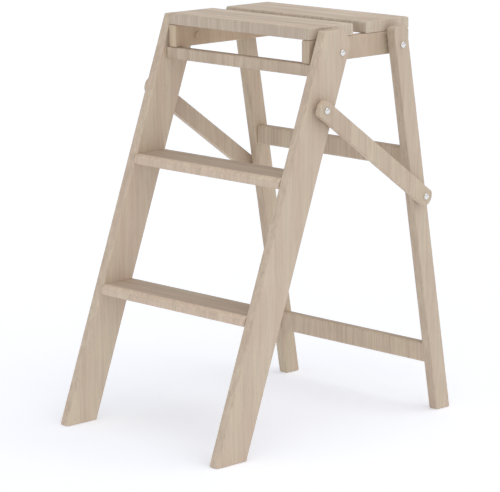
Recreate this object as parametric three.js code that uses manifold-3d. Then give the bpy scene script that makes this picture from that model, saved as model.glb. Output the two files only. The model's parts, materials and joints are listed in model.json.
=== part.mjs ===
// A folding step ladder in beech: two leaning stiles carry two treads and a front rail, a slatted
// platform is pivoted to the stiles and to a pair of rear legs, and a brace on each side joins the
// stiles to the legs.
// Millimetres, +X to the right, +Y to the rear, +Z up. The origin is on the floor, under the middle of
// the ladder as it stands open.
import * as THREE from "three";
import { mergeVertices } from "three/addons/utils/BufferGeometryUtils.js";
import Module from "manifold-3d";

const wasm = await Module();
wasm.setup();

// Overall sizes
const PLATFORM_HEIGHT = 650; // floor to the top of the slats
const FRAME_WIDTH = 368; // across the outer faces of the stiles
const LEG_SPREAD = 498.3; // front of a stile's foot to the front of a rear leg's foot

// Stiles
const STILE_WIDTH = 60;
const STILE_THICKNESS = 18;
const STILE_LEAN = 20.2; // degrees from upright
const STILE_TOP_DROP = 3.5; // below the top of the slats
const STILE_TOP_ROUND = 24; // rounding of the top's rear corner

// Rear legs
const LEG_WIDTH = 31;
const LEG_THICKNESS = 18;
const LEG_TOP_DROP = 10; // below the top of the slats
const LEG_TOP_ROUND = 9;

// Treads
const LOWER_TREAD_HEIGHT = 223; // floor to the top of the tread
const UPPER_TREAD_HEIGHT = 427;
const TREAD_THICKNESS = 18;
const NOSE_PROUD = 5; // the nose stands in front of the stiles by this much
const NOSE_ROUND = 12;
const NOSE_UNDER_ROUND = 5;

// Platform
const SLAT_WIDTH = 99;
const SLAT_GAP = 28; // between the two slats
const SLAT_THICKNESS = 19;
const BEARER_DEPTH = 36.3;
const BEARER_THICKNESS = 16;
const PLATFORM_SETBACK = 6.5; // front of the platform behind the front of the stiles
const SPACER_ROOM = 7; // between a bearer and the stile or leg outside it

// Front and rear rails
const FRONT_RAIL_DEPTH = 18;
const FRONT_RAIL_HEIGHT = 19;
const REAR_RAIL_DEPTH = 18;
const REAR_RAIL_HEIGHT = 31.5;
const REAR_RAIL_SETBACK = 1.5; // rail's face behind the leg's front edge at the rail's foot
const LOWER_RAIL_HEIGHT = 79.5; // floor to the underside of the rail
const UPPER_RAIL_HEIGHT = 411;
const TENON_LENGTH = 10;
const TENON_SHOULDER = 4; // rail's section outside the tenon on every side

// Braces
const BRACE_WIDTH = 28;
const BRACE_THICKNESS = 10.5;
const BRACE_END = 14.5; // wood beyond the pivot
const BRACE_END_RADIUS = 18;

// Pivots
const PIVOT_ABOVE_BEARER = 16; // pivot's height over the underside of the bearers
const PIVOT_FROM_EDGE = 14.2; // platform pivot to the rear edge of the stile
const LEG_PIVOT_INSET = 41; // leg's pivot in front of the bearers' rear ends
const BRACE_STILE_DROP = 83.3; // brace's pivot on the stile, below the platform pivot
const BRACE_AHEAD = 3.8; // brace's pivots, ahead of the middle of the stile and of the leg
const BRACE_LEG_DROP = 245.5; // brace's pivot on the leg, below the platform pivot

// Fixings
const SLEEVE_RADIUS = 4;
const SCREW_RADIUS = 2.5;
const HEAD_RADIUS = 5.2;
const HEAD_HEIGHT = 3;
const HEAD_RIM = 0.6; // straight edge of the head under its dome
const SHANK_CHAMFER = 0.6;
const FLANGE_RADIUS = 6;
const FLANGE_THICKNESS = 1.2;
const KEY_RADIUS = 2.1;
const KEY_DEPTH = 0.9;
const WASHER_RADIUS = 8;
const WASHER_THICKNESS = 5.9;
const SPACER_RADIUS = 9;
const DOWEL_RADIUS = 4;
const DOWEL_LENGTH = 32;
const DOWEL_IN_STILE = 12;
const DOWEL_INSET = 16; // dowel's axis from the stile's front and rear edges
const WOOD_SCREW_RADIUS = 2;
const WOOD_SCREW_HEAD = 4;
const WOOD_SCREW_LENGTH = 32;
const WOOD_SCREW_BITE = 13; // in the slat
const SLAT_SCREW_INSET = 20; // screw's axis from a slat's edges

// Clearances and edges
const JOINT_GAP = 0.3; // between pieces that are glued or clamped together
const BORE_GAP = 0.35; // round a fixing in its bore
const EDGE_ROUND = 2.5; // boards' long edges
const BRACE_EDGE_ROUND = 1.5;
const CORNER_ROUND = 3;
const SLAT_TOP_ROUND = 4.5;
const SLAT_END_ROUND = 1.2;
const ROUND_SEGMENTS = 16; // sides of a fixing and of its bore
const DOWEL_SEGMENTS = 10;

// Derived sizes
const radians = THREE.MathUtils.degToRad;
const stileSlope = Math.tan(radians(STILE_LEAN));
const stileRun = STILE_WIDTH / Math.cos(radians(STILE_LEAN)); // a stile's width measured level

const stileFront = (z) => z * stileSlope;
const stileRear = (z) => stileFront(z) + stileRun;

const slatBottom = PLATFORM_HEIGHT - SLAT_THICKNESS;
const bearerTop = slatBottom - JOINT_GAP;
const bearerBottom = bearerTop - BEARER_DEPTH;
const platformFront = stileFront(bearerBottom) + PLATFORM_SETBACK;
const platformDepth = 2 * SLAT_WIDTH + SLAT_GAP;

// A rear leg leans so that its centre line passes through its pivot on the platform.
const pivotHeight = bearerBottom + PIVOT_ABOVE_BEARER;
const legPivotDepth = platformFront + platformDepth - LEG_PIVOT_INSET;
const legReach = LEG_SPREAD - legPivotDepth;
const legSpan = Math.hypot(legReach, pivotHeight);
const legLean = Math.atan2(legReach, pivotHeight) + Math.asin(LEG_WIDTH / 2 / legSpan);
const legSlope = Math.tan(legLean);
const legRun = LEG_WIDTH / Math.cos(legLean);
const depth = LEG_SPREAD + legRun;

const legFront = (z) => LEG_SPREAD - z * legSlope;
const legRear = (z) => legFront(z) + legRun;

const stileOuter = FRAME_WIDTH / 2;
const stileInner = stileOuter - STILE_THICKNESS;
const legOuter = stileOuter;
const legInner = legOuter - LEG_THICKNESS;
const bearerOuter = Math.min(stileInner, legInner) - SPACER_ROOM;
const bearerInner = bearerOuter - BEARER_THICKNESS;
const braceInner = stileOuter + WASHER_THICKNESS + 2 * JOINT_GAP;
const braceOuter = braceInner + BRACE_THICKNESS;

// Pivot axes, as [y, z]; all of them run along X.
const edgeRun = PIVOT_FROM_EDGE / Math.cos(radians(STILE_LEAN));
const braceStileHeight = pivotHeight - BRACE_STILE_DROP;
const braceLegHeight = pivotHeight - BRACE_LEG_DROP;
const pivots = {
  platformStile: [stileRear(pivotHeight) - edgeRun, pivotHeight],
  platformLeg: [legPivotDepth, pivotHeight],
  braceStile: [stileFront(braceStileHeight) + stileRun / 2 - BRACE_AHEAD, braceStileHeight],
  braceLeg: [legFront(braceLegHeight) + legRun / 2 - BRACE_AHEAD, braceLegHeight],
};
const depthCentre = depth / 2;

const beech = new THREE.MeshStandardMaterial({ color: 0xcdb792, roughness: 0.62, metalness: 0 });
const steel = new THREE.MeshStandardMaterial({ color: 0xd4d6d8, roughness: 0.25, metalness: 1 });
const nylon = new THREE.MeshStandardMaterial({ color: 0xe6e4dc, roughness: 0.5, metalness: 0 });

const ladder = new THREE.Group();
ladder.name = "step_ladder";
ladder.position.y = -depthCentre;

// ---- joining and cutting ----

// A closed geometry as a solid that can be joined and cut.
function solidOf(geometry) {
  const bare = geometry.clone();
  bare.deleteAttribute("normal");
  bare.deleteAttribute("uv");
  const merged = mergeVertices(bare, 1e-4);
  const mesh = new wasm.Mesh({
    numProp: 3,
    vertProperties: new Float32Array(merged.attributes.position.array),
    triVerts: new Uint32Array(merged.index.array),
  });
  return new wasm.Manifold(mesh);
}

function geometryOf(solid) {
  const mesh = solid.getMesh();
  const geometry = new THREE.BufferGeometry();
  geometry.setAttribute("position", new THREE.BufferAttribute(mesh.vertProperties, 3));
  geometry.setIndex(new THREE.BufferAttribute(mesh.triVerts, 1));
  geometry.computeVertexNormals();
  return geometry;
}

function cut(geometry, tools) {
  let solid = solidOf(geometry);
  for (const tool of tools) solid = solid.subtract(solidOf(tool));
  return geometryOf(solid);
}

function join(geometry, additions) {
  let solid = solidOf(geometry);
  for (const addition of additions) solid = solid.add(solidOf(addition));
  return geometryOf(solid);
}

// ---- outlines ----

// A closed outline through corners [y, z, radius], with each corner rounded by an arc. The corners run
// anticlockwise; a radius of 0 leaves the corner sharp.
function roundedOutline(corners) {
  const shape = new THREE.Shape();
  const points = [];
  corners.forEach(([y, z, radius], i) => {
    const corner = new THREE.Vector2(y, z);
    if (!radius) {
      points.push(corner);
      return;
    }
    const [by, bz] = corners[(i + corners.length - 1) % corners.length];
    const [ay, az] = corners[(i + 1) % corners.length];
    const toBefore = new THREE.Vector2(by - y, bz - z).normalize();
    const toAfter = new THREE.Vector2(ay - y, az - z).normalize();
    const half = Math.acos(THREE.MathUtils.clamp(toBefore.dot(toAfter), -1, 1)) / 2;
    const inward = toBefore.clone().add(toAfter).normalize();
    const centre = corner.clone().addScaledVector(inward, radius / Math.sin(half));
    const tangent = radius / Math.tan(half);
    const start = corner.clone().addScaledVector(toBefore, tangent).sub(centre);
    const sweep = Math.PI - 2 * half;
    const steps = Math.max(2, Math.ceil(sweep * Math.sqrt(radius) * 1.3));
    for (let step = 0; step <= steps; step++) {
      const arm = start.clone().rotateAround(new THREE.Vector2(), (sweep * step) / steps);
      points.push(centre.clone().add(arm));
    }
  });
  shape.setFromPoints(points);
  return shape;
}

// ---- pieces ----
// A board or rail is an outline in the Y-Z plane carried along X. Its geometry has y, z and x of the ladder
// as its own x, y and z, and the mesh's rotation turns them into place.

function carried(outline, x0, x1, edge) {
  const geometry = new THREE.ExtrudeGeometry(outline, {
    depth: x1 - x0 - 2 * edge,
    bevelEnabled: edge > 0,
    bevelThickness: edge,
    bevelSize: edge,
    bevelOffset: -edge,
    bevelSegments: 2,
    steps: 1,
  });
  return geometry.translate(0, 0, x0 + edge);
}

function boreTool([y, z], radius, x0, x1, segments = ROUND_SEGMENTS) {
  const low = Math.min(x0, x1);
  const length = Math.abs(x1 - x0);
  const geometry = new THREE.CylinderGeometry(radius, radius, length, segments);
  return geometry.rotateX(Math.PI / 2).translate(y, z, low + length / 2);
}

function boxTool([y0, y1], [z0, z1], [x0, x1]) {
  const geometry = new THREE.BoxGeometry(y1 - y0, z1 - z0, Math.abs(x1 - x0));
  return geometry.translate((y0 + y1) / 2, (z0 + z1) / 2, (x0 + x1) / 2);
}

function uprightTool(y, x, radius, z0, z1, segments = ROUND_SEGMENTS) {
  const geometry = new THREE.CylinderGeometry(radius, radius, z1 - z0, segments);
  return geometry.translate(y, (z0 + z1) / 2, x);
}

function add(name, geometry, material) {
  const mesh = new THREE.Mesh(geometry, material);
  mesh.name = name;
  ladder.add(mesh);
  return mesh;
}

function addCarried(name, geometry) {
  add(name, geometry, beech).rotation.set(Math.PI / 2, Math.PI / 2, 0);
}

// A turned piece: the profile's points are [radius, distance along the axis], from the end that faces
// out of the ladder's side to the end that faces in. The distance is 0 at x = from, and grows towards
// the middle.
function addTurned(name, profile, material, side, [y, z], from, segments = ROUND_SEGMENTS) {
  const points = profile.map(([radius, along]) => new THREE.Vector2(radius, -along)).reverse();
  const mesh = add(name, new THREE.LatheGeometry(points, segments), material);
  mesh.rotation.z = (-side * Math.PI) / 2;
  mesh.position.set(side * from, y, z);
}

// ---- profiles of the fixings ----

// A domed head over a plain shank, closed at both ends.
function domedBolt(shankRadius, shankLength) {
  const points = [[0, -HEAD_HEIGHT]];
  const steps = 4;
  for (let step = 1; step <= steps; step++) {
    const turn = (step / steps) * (Math.PI / 2);
    const height = HEAD_RIM + (HEAD_HEIGHT - HEAD_RIM) * Math.cos(turn);
    points.push([HEAD_RADIUS * Math.sin(turn), -height]);
  }
  points.push([HEAD_RADIUS, 0], [shankRadius, 0], [shankRadius, shankLength - SHANK_CHAMFER]);
  points.push([shankRadius - SHANK_CHAMFER, shankLength], [0, shankLength]);
  return points;
}

// A flanged sleeve nut: its bore is open at the outer end, and its flange has a key recess.
function sleeveNut(length) {
  const bottom = length - FLANGE_THICKNESS;
  return [
    [0, bottom - 2],
    [sleeveBore, bottom - 2],
    [sleeveBore, 0],
    [SLEEVE_RADIUS, 0],
    [SLEEVE_RADIUS, bottom],
    [FLANGE_RADIUS, bottom],
    [FLANGE_RADIUS, length - 0.3],
    [FLANGE_RADIUS - 0.3, length],
    [KEY_RADIUS, length],
    [KEY_RADIUS, length - KEY_DEPTH],
    [0, length - KEY_DEPTH],
  ];
}

function ring(inner, outer, length) {
  return [
    [inner, 0],
    [outer, 0],
    [outer, length],
    [inner, length],
    [inner, 0],
  ];
}

// ---- sides, made once for each hand ----

const boreRadius = SLEEVE_RADIUS + BORE_GAP;
const sleeveBore = SCREW_RADIUS + BORE_GAP;
const seatRadius = FLANGE_RADIUS + BORE_GAP;
const seatDepth = FLANGE_THICKNESS + JOINT_GAP;
const dowelBore = DOWEL_RADIUS + BORE_GAP;

// Where a tread's dowels sit: [y, z] of each axis.
function dowelPlaces(treadHeight) {
  const z = treadHeight - TREAD_THICKNESS / 2;
  return [
    [stileFront(z) + DOWEL_INSET, z],
    [stileRear(z) - DOWEL_INSET, z],
  ];
}

const treads = { lower: LOWER_TREAD_HEIGHT, upper: UPPER_TREAD_HEIGHT };
const rearRails = { lower: LOWER_RAIL_HEIGHT, upper: UPPER_RAIL_HEIGHT };

const frontRail = {
  y: [platformFront, platformFront + FRONT_RAIL_DEPTH],
  z: [bearerBottom - JOINT_GAP - FRONT_RAIL_HEIGHT, bearerBottom - JOINT_GAP],
};

function rearRail(foot) {
  const face = legFront(foot) + REAR_RAIL_SETBACK;
  return { y: [face, face + REAR_RAIL_DEPTH], z: [foot, foot + REAR_RAIL_HEIGHT] };
}

// The section of a rail's tenon, or of its mortise when grown by a gap.
function tenonSection(rail, gap = 0) {
  return ["y", "z"].map((axis) => [
    rail[axis][0] + TENON_SHOULDER - gap,
    rail[axis][1] - TENON_SHOULDER + gap,
  ]);
}

function mortise(rail, side, face) {
  const [y, z] = tenonSection(rail, JOINT_GAP);
  const deep = side * (face + TENON_LENGTH + JOINT_GAP);
  return boxTool(y, z, [side * (face - 1), deep]);
}

function span(side, inner, outer) {
  return side > 0 ? [inner, outer] : [-outer, -inner];
}

function addStile(hand, side) {
  const top = PLATFORM_HEIGHT - STILE_TOP_DROP;
  const outline = roundedOutline([
    [stileFront(0), 0, CORNER_ROUND],
    [stileRear(0), 0, CORNER_ROUND],
    [stileRear(top), top, STILE_TOP_ROUND],
    [stileFront(top), top, CORNER_ROUND],
  ]);
  const inside = side * (stileInner - 1);
  const outside = side * (stileOuter + 1);
  const tools = [
    boreTool(pivots.platformStile, boreRadius, inside, outside),
    boreTool(pivots.braceStile, boreRadius, inside, outside),
    boreTool(pivots.braceStile, seatRadius, inside, side * (stileInner + seatDepth)),
    mortise(frontRail, side, stileInner),
  ];
  for (const height of Object.values(treads)) {
    for (const place of dowelPlaces(height)) {
      const deep = side * (stileInner + DOWEL_IN_STILE + BORE_GAP);
      tools.push(boreTool(place, dowelBore, inside, deep, DOWEL_SEGMENTS));
    }
  }
  const board = carried(outline, ...span(side, stileInner, stileOuter), EDGE_ROUND);
  addCarried(`stile_${hand}`, cut(board, tools));
}

function addLeg(hand, side) {
  const top = PLATFORM_HEIGHT - LEG_TOP_DROP;
  const outline = roundedOutline([
    [legFront(0), 0, CORNER_ROUND],
    [legRear(0), 0, CORNER_ROUND],
    [legRear(top), top, CORNER_ROUND],
    [legFront(top), top, LEG_TOP_ROUND],
  ]);
  const inside = side * (legInner - 1);
  const outside = side * (legOuter + 1);
  const tools = [
    boreTool(pivots.platformLeg, boreRadius, inside, outside),
    boreTool(pivots.braceLeg, boreRadius, inside, outside),
    boreTool(pivots.braceLeg, seatRadius, inside, side * (legInner + seatDepth)),
  ];
  for (const foot of Object.values(rearRails)) tools.push(mortise(rearRail(foot), side, legInner));
  const board = carried(outline, ...span(side, legInner, legOuter), EDGE_ROUND);
  addCarried(`rear_leg_${hand}`, cut(board, tools));
}

// A straight board between two pivots whose ends bulge as shallow arcs about the pivots.
function braceOutline([y0, z0], [y1, z1]) {
  const along = new THREE.Vector2(y1 - y0, z1 - z0);
  const length = along.length();
  along.normalize();
  const half = BRACE_WIDTH / 2;
  const reach = Math.asin(half / BRACE_END_RADIUS);
  const centre = length + BRACE_END - BRACE_END_RADIUS;
  const steps = 8;
  const end = [];
  for (let step = 0; step <= steps; step++) {
    const turn = -reach + (2 * reach * step) / steps;
    end.push([centre + BRACE_END_RADIUS * Math.cos(turn), BRACE_END_RADIUS * Math.sin(turn)]);
  }
  const loop = [...end, ...end.map(([u, v]) => [length - u, -v])];
  const points = loop.map(
    ([u, v]) => new THREE.Vector2(y0 + u * along.x - v * along.y, z0 + u * along.y + v * along.x),
  );
  return new THREE.Shape().setFromPoints(points);
}

function addBrace(hand, side) {
  const outline = braceOutline(pivots.braceStile, pivots.braceLeg);
  const inside = side * (braceInner - 1);
  const outside = side * (braceOuter + 1);
  const tools = [
    boreTool(pivots.braceStile, boreRadius, inside, outside),
    boreTool(pivots.braceLeg, boreRadius, inside, outside),
  ];
  const board = carried(outline, ...span(side, braceInner, braceOuter), BRACE_EDGE_ROUND);
  addCarried(`brace_${hand}`, cut(board, tools));
}

// The slats lie one behind the other; each is given by its front edge.
const slats = { front: platformFront, rear: platformFront + SLAT_WIDTH + SLAT_GAP };
const screwPlaces = (slatFront) => [
  slatFront + SLAT_SCREW_INSET,
  slatFront + SLAT_WIDTH - SLAT_SCREW_INSET,
];
const screwHead = slatBottom + WOOD_SCREW_BITE - WOOD_SCREW_LENGTH;

function addBearer(hand, side) {
  const rear = platformFront + platformDepth;
  const outline = roundedOutline([
    [platformFront, bearerBottom, CORNER_ROUND],
    [rear, bearerBottom, CORNER_ROUND],
    [rear, bearerTop, 0],
    [platformFront, bearerTop, 0],
  ]);
  const inside = side * (bearerInner - 1);
  const outside = side * (bearerOuter + 1);
  const middle = (side * (bearerInner + bearerOuter)) / 2;
  const tools = [
    boreTool(pivots.platformStile, boreRadius, inside, outside),
    boreTool(pivots.platformLeg, boreRadius, inside, outside),
  ];
  for (const front of Object.values(slats)) {
    for (const y of screwPlaces(front)) {
      const wide = WOOD_SCREW_HEAD + BORE_GAP;
      const pilot = WOOD_SCREW_RADIUS + BORE_GAP;
      const sunk = screwHead + WOOD_SCREW_HEAD;
      tools.push(uprightTool(y, middle, wide, bearerBottom - 1, sunk, DOWEL_SEGMENTS));
      tools.push(uprightTool(y, middle, pilot, screwHead, bearerTop + 1, DOWEL_SEGMENTS));
    }
  }
  const board = carried(outline, ...span(side, bearerInner, bearerOuter), BRACE_EDGE_ROUND);
  addCarried(`bearer_${hand}`, cut(board, tools));
}

// ---- pieces that span the ladder ----

function addTread(name, height) {
  const underside = height - TREAD_THICKNESS;
  const nose = stileFront(height) - NOSE_PROUD;
  const rear = stileRear(height);
  const outline = roundedOutline([
    [nose, underside, NOSE_UNDER_ROUND],
    [rear, underside, EDGE_ROUND],
    [rear, height, EDGE_ROUND],
    [nose, height, NOSE_ROUND],
  ]);
  const reach = stileInner - JOINT_GAP;
  const tools = [];
  for (const side of [-1, 1]) {
    for (const place of dowelPlaces(height)) {
      const deep = side * (stileInner + DOWEL_IN_STILE - DOWEL_LENGTH - BORE_GAP);
      tools.push(boreTool(place, dowelBore, side * (reach + 1), deep, DOWEL_SEGMENTS));
    }
  }
  addCarried(name, cut(carried(outline, -reach, reach, 0), tools));
}

function addRail(name, rail, face) {
  const [y0, y1] = rail.y;
  const [z0, z1] = rail.z;
  const outline = roundedOutline([
    [y0, z0, CORNER_ROUND],
    [y1, z0, CORNER_ROUND],
    [y1, z1, CORNER_ROUND],
    [y0, z1, CORNER_ROUND],
  ]);
  const reach = face - JOINT_GAP;
  const tenons = [-1, 1].map((side) => {
    const [y, z] = tenonSection(rail);
    return boxTool(y, z, [side * (reach - 1), side * (face + TENON_LENGTH)]);
  });
  addCarried(name, join(carried(outline, -reach, reach, 0), tenons));
}

function addSlat(name, front) {
  const rear = front + SLAT_WIDTH;
  const outline = roundedOutline([
    [front, slatBottom, EDGE_ROUND],
    [rear, slatBottom, EDGE_ROUND],
    [rear, PLATFORM_HEIGHT, SLAT_TOP_ROUND],
    [front, PLATFORM_HEIGHT, SLAT_TOP_ROUND],
  ]);
  const middle = (bearerInner + bearerOuter) / 2;
  const pilot = WOOD_SCREW_RADIUS + BORE_GAP;
  const tools = [];
  for (const side of [-1, 1]) {
    for (const y of screwPlaces(front)) {
      const top = slatBottom + WOOD_SCREW_BITE + BORE_GAP;
      tools.push(uprightTool(y, side * middle, pilot, slatBottom - 1, top, DOWEL_SEGMENTS));
    }
  }
  addCarried(name, cut(carried(outline, -bearerOuter, bearerOuter, SLAT_END_ROUND), tools));
}

// ---- fixings ----

// A bolt from the outer face into a sleeve nut whose flange ends at the given inner face.
function addPivot(name, side, place, outerFace, flangeFace) {
  const nutLength = outerFace - JOINT_GAP - flangeFace;
  const bolt = domedBolt(SCREW_RADIUS, nutLength * 0.6);
  addTurned(`${name}_bolt`, bolt, steel, side, place, outerFace + JOINT_GAP);
  addTurned(`${name}_nut`, sleeveNut(nutLength), steel, side, place, outerFace - JOINT_GAP);
}

function addPivots(hand, side) {
  const proud = bearerInner - JOINT_GAP - FLANGE_THICKNESS;
  const spacer = (inner) => ring(boreRadius, SPACER_RADIUS, inner - bearerOuter - 2 * JOINT_GAP);
  const washer = ring(boreRadius, WASHER_RADIUS, WASHER_THICKNESS);

  addPivot(`stile_pivot_${hand}`, side, pivots.platformStile, stileOuter, proud);
  addTurned(
    `stile_spacer_${hand}`,
    spacer(stileInner),
    nylon,
    side,
    pivots.platformStile,
    stileInner - JOINT_GAP,
  );

  addPivot(`leg_pivot_${hand}`, side, pivots.platformLeg, legOuter, proud);
  addTurned(
    `leg_spacer_${hand}`,
    spacer(legInner),
    nylon,
    side,
    pivots.platformLeg,
    legInner - JOINT_GAP,
  );

  const sunk = stileInner + seatDepth - JOINT_GAP - FLANGE_THICKNESS;
  addPivot(`brace_stile_pivot_${hand}`, side, pivots.braceStile, braceOuter, sunk);
  addTurned(`brace_stile_washer_${hand}`, washer, steel, side, pivots.braceStile, braceInner - JOINT_GAP);

  // The brace's lower end: a shouldered bolt through the brace and washer meets an insert in the leg.
  const shoulder = braceOuter + JOINT_GAP - (legOuter + JOINT_GAP);
  const bolt = domedBolt(SLEEVE_RADIUS, shoulder);
  addTurned(`brace_leg_bolt_${hand}`, bolt, steel, side, pivots.braceLeg, braceOuter + JOINT_GAP);
  addTurned(`brace_leg_washer_${hand}`, washer, steel, side, pivots.braceLeg, braceInner - JOINT_GAP);
  const insert = sleeveNut(legOuter - JOINT_GAP - (legInner + seatDepth - JOINT_GAP - FLANGE_THICKNESS));
  addTurned(`brace_leg_nut_${hand}`, insert, steel, side, pivots.braceLeg, legOuter - JOINT_GAP);
}

function addDowels(hand, side) {
  const chamfer = 0.8;
  const profile = [
    [0, 0],
    [DOWEL_RADIUS - chamfer, 0],
    [DOWEL_RADIUS, chamfer],
    [DOWEL_RADIUS, DOWEL_LENGTH - chamfer],
    [DOWEL_RADIUS - chamfer, DOWEL_LENGTH],
    [0, DOWEL_LENGTH],
  ];
  for (const [tread, height] of Object.entries(treads)) {
    dowelPlaces(height).forEach((place, i) => {
      const name = `${tread}_tread_dowel_${hand}_${["front", "rear"][i]}`;
      addTurned(name, profile, beech, side, place, stileInner + DOWEL_IN_STILE, DOWEL_SEGMENTS);
    });
  }
}

// Countersunk screws driven up through the bearers into the slats.
function addSlatScrews(hand, side) {
  const sink = WOOD_SCREW_HEAD - WOOD_SCREW_RADIUS;
  const profile = [
    [0, 0],
    [WOOD_SCREW_HEAD, 0],
    [WOOD_SCREW_HEAD, 0.4],
    [WOOD_SCREW_RADIUS, 0.4 + sink],
    [WOOD_SCREW_RADIUS, WOOD_SCREW_LENGTH - 5],
    [0, WOOD_SCREW_LENGTH],
  ].map(([radius, along]) => new THREE.Vector2(radius, along));
  const x = (side * (bearerInner + bearerOuter)) / 2;
  for (const [slat, front] of Object.entries(slats)) {
    screwPlaces(front).forEach((y, i) => {
      const name = `${slat}_slat_screw_${hand}_${i + 1}`;
      const mesh = add(name, new THREE.LatheGeometry(profile, DOWEL_SEGMENTS), steel);
      mesh.rotation.x = Math.PI / 2;
      mesh.position.set(x, y, screwHead);
    });
  }
}

const hands = { left: -1, right: 1 };
for (const [hand, side] of Object.entries(hands)) addStile(hand, side);
addTread("tread_lower", treads.lower);
addTread("tread_upper", treads.upper);
addRail("front_rail", frontRail, stileInner);
for (const [hand, side] of Object.entries(hands)) addLeg(hand, side);
addRail("rear_rail_lower", rearRail(rearRails.lower), legInner);
addRail("rear_rail_upper", rearRail(rearRails.upper), legInner);
for (const [hand, side] of Object.entries(hands)) addBearer(hand, side);
addSlat("slat_front", slats.front);
addSlat("slat_rear", slats.rear);
for (const [hand, side] of Object.entries(hands)) {
  addBrace(hand, side);
  addPivots(hand, side);
  addDowels(hand, side);
  addSlatScrews(hand, side);
}

export default ladder;
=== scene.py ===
"""A folding beech step ladder: the boards, rails and pivots that show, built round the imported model."""

import json
import math

import bpy
import numpy as np
from bpy.props import FloatProperty, FloatVectorProperty, PointerProperty
from mathutils import Matrix, Vector


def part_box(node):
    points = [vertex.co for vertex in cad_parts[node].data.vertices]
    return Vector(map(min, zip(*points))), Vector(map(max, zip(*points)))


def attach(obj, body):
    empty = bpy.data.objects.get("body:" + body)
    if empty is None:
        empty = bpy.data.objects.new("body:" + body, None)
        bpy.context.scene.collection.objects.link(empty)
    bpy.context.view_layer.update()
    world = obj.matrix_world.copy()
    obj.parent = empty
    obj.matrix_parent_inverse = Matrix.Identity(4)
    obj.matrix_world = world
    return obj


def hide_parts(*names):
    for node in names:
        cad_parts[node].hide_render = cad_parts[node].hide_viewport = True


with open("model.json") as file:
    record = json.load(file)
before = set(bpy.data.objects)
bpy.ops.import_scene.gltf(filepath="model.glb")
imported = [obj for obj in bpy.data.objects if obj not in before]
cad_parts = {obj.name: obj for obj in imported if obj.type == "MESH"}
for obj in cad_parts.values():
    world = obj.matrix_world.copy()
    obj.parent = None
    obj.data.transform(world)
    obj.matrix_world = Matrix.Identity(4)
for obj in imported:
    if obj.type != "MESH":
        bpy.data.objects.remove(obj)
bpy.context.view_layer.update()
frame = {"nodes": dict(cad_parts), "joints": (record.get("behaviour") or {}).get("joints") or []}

bl_info = {
    "name": "Folding step ladder",
    "version": (1, 0, 0),
    "blender": (4, 5, 0),
    "location": "3D View > Sidebar > Ladder",
    "description": "Builds a folding beech step ladder with its boards, pivots and finishes",
    "category": "Add Mesh",
}

JOINTS = {joint["name"]: Vector(joint["pos_m"]) for joint in frame["joints"]}
HANDS = {"left": -1, "right": 1}
MM = 0.001
SINK = 0.0003  # room between pieces that meet

HEAD_HEIGHT = 3 * MM  # domed head of a bolt
SHANK = 2.5 * MM  # radius of a bolt's shank inside its sleeve nut
SHOULDER = 4 * MM  # radius of the bolt that a brace turns on at the leg
SLEEVE = 4 * MM  # outer radius of a sleeve nut
SLEEVE_BORE = 2.85 * MM
PLUG_THICKNESS = 1.2 * MM
SEAT_DEPTH = 1.5 * MM  # depth of the recess for a sleeve nut's plug
SCREW_SHANK = 1.9 * MM
SCREW_HOLE = 2.35 * MM
SCREW_SEAT = 4 * MM  # height of the wide part of its hole above the slat screw's lower end
SCREW_SEGMENTS = 24


def middle(node):
    """The middle of a node's box."""
    low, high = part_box(node)
    return (low + high) / 2


def yz(point):
    """A point's y and z as an array."""
    return np.array([point.y, point.z])


# The pivots' axes run along X, so each is known by its y and z.
PLATFORM_STILE = yz(JOINTS["platform_fold"])
PLATFORM_LEG = yz(JOINTS["rear_frame_swing"])
BRACE_STILE = yz(JOINTS["brace_right_swing"])
BRACE_LEG = yz(middle("brace_leg_bolt_right"))


# ---- sizes and colours ----


def length_property(name, description, default):
    return FloatProperty(
        name=name, description=description, default=default, min=0.0001, subtype="DISTANCE", unit="LENGTH"
    )


def angle_property(name, description, degrees):
    return FloatProperty(name=name, description=description, default=math.radians(degrees), subtype="ANGLE")


def number_property(name, description, default):
    return FloatProperty(name=name, description=description, default=default)


def colour_property(name, description, default):
    return FloatVectorProperty(
        name=name, description=description, default=default, size=3, min=0, max=1, subtype="COLOR"
    )


class LadderSizes(bpy.types.PropertyGroup):
    """Sizes of the boards and fixings."""

    stile_width: length_property("Stile width", "Width of a stile's broad face", 0.060)
    stile_lean: angle_property("Stile lean", "Lean of the stiles from upright", 20.2)
    stile_top_round: length_property("Stile top", "Rounding of a stile's top rear corner", 0.024)
    leg_width: length_property("Leg width", "Width of a rear leg's broad face", 0.031)
    leg_top_round: length_property("Leg top", "Rounding of a rear leg's top front corner", 0.009)
    brace_width: length_property("Brace width", "Width of a brace's broad face", 0.028)
    brace_end: length_property("Brace end", "Wood beyond a brace's pivot", 0.0145)
    brace_end_radius: length_property("Brace end radius", "Radius of a brace's bowed end", 0.018)
    brace_ahead: length_property("Brace pivots ahead", "From a brace pivot to its board's middle", 0.0038)
    nose_round: length_property("Nose", "Rounding of a tread's top front edge", 0.012)
    nose_under_round: length_property("Under the nose", "Rounding of a tread's lower front edge", 0.005)
    slat_round: length_property("Slat edge", "Rounding of a slat's top edges", 0.0045)
    board_edge: length_property("Board edge", "Rounding of the stiles' and legs' edges", 0.0025)
    brace_edge: length_property("Brace edge", "Rounding of the braces', bearers' and slats' edges", 0.0015)
    eased_edge: length_property("Eased edge", "Rounding of an edge that is only sanded", 0.0008)
    corner: length_property("Corner", "Rounding of a board's plain corners", 0.003)
    bore: length_property("Bore", "Radius of the holes for the sleeve nuts", 0.00435)
    seat: length_property("Seat", "Radius of the recess for a sleeve nut's plug", 0.00612)
    tenon_shoulder: length_property("Tenon shoulder", "Rail's section outside its tenon", 0.004)
    tenon: length_property("Tenon", "Length of a rail's tenon", 0.010)


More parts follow.
